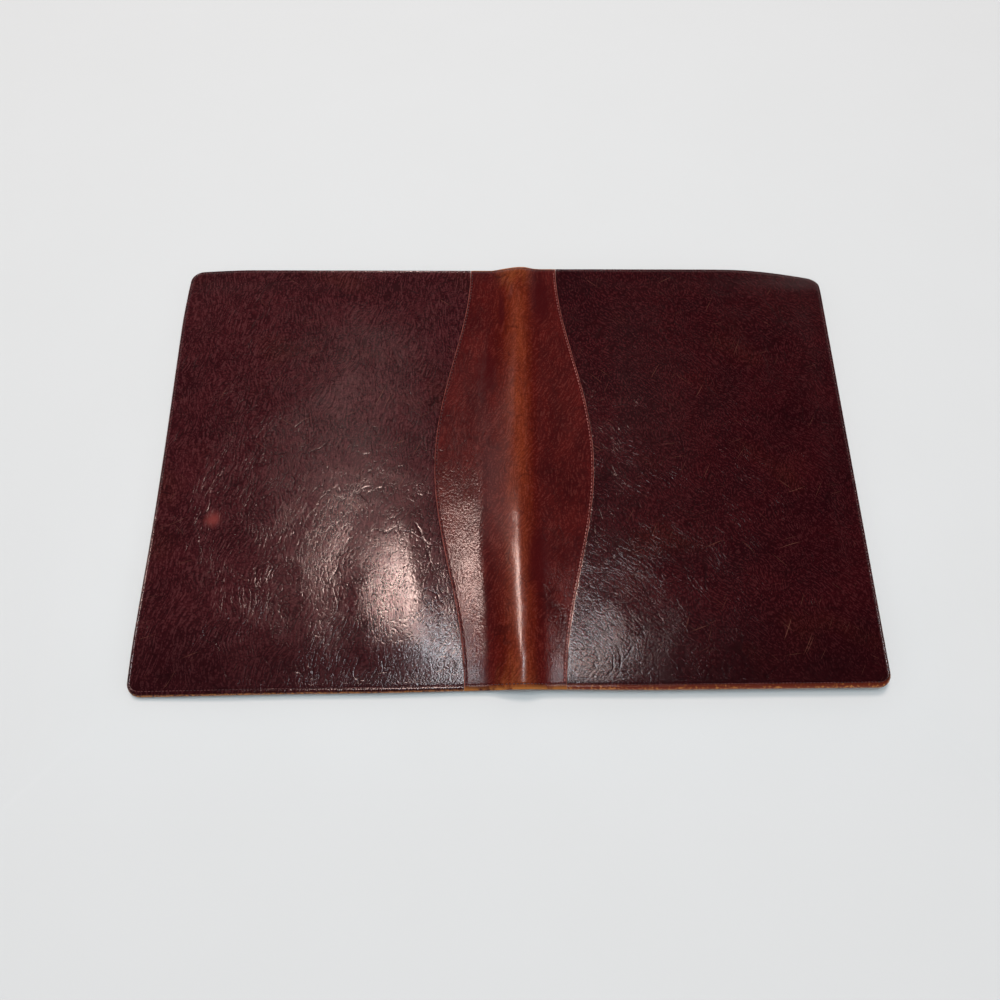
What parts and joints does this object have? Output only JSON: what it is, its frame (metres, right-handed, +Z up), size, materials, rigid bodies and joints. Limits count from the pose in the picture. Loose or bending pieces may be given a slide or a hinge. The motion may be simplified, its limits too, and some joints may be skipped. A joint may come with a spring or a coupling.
{
  "type": "padfolio",
  "caption": "Leather padfolio lying open, face down: stiff covers hinged to an ogee spine panel with a raised ridge, with a document pocket and a writing pad that slides out of its panel.",
  "frame": {"origin": "on the table under the middle of the open folio", "axes": "+X across the open covers towards the back cover, +Y along the spine towards the tail of the pad, +Z up out of the outside of the covers"},
  "size_m": [0.4852, 0.318, 0.011],
  "materials": {
    "cover_hide": "dark oxblood leather, polished with wear, finely creased",
    "spine_hide": "red-brown leather, satin, worn tan at the ends",
    "pocket_hide": "thin oxblood leather, satin",
    "lining": "dark lining cloth, matte",
    "board": "grey board, matte",
    "backing": "brown chipboard, matte",
    "paper": "white writing paper, matte",
    "binding": "dark binding paper, matte"
  },
  "bodies": {
    "back_cover": {"back_cover_hide": "cover_hide", "back_cover_board": "board", "back_cover_lining": "lining", "back_spine_wing": "spine_hide", "pad_panel": "pocket_hide", "pad_welt_spine": "pocket_hide", "pad_welt_outer": "pocket_hide", "pad_welt_tail": "pocket_hide"},
    "spine": {"spine_ridge": "spine_hide", "spine_lining": "lining"},
    "front_cover": {"front_cover_hide": "cover_hide", "front_cover_board": "board", "front_cover_lining": "lining", "front_spine_wing": "spine_hide", "document_pocket": "pocket_hide", "document_welt_spine": "pocket_hide", "document_welt_outer": "pocket_hide", "document_welt_tail": "pocket_hide", "card_pocket": "pocket_hide"},
    "writing_pad": {"pad_backing": "backing", "pad_sheets": "paper", "pad_head_binding": "binding"}
  },
  "joints": [
    {"name": "back_hinge", "type": "hinge", "parent": "back_cover", "child": "spine", "pos_m": [0.01195, 0, 0.0065], "axis": [0, -1, 0], "range_deg": [0, 84.74]},
    {"name": "front_hinge", "type": "hinge", "parent": "spine", "child": "front_cover", "pos_m": [-0.01195, 0, 0.0043], "axis": [0, -1, 0], "range_deg": [0, 95.26]},
    {"name": "pad_slide", "type": "slide", "parent": "back_cover", "child": "writing_pad", "axis": [0, -1, 0], "range_m": [0, 0.3]}
  ]
}
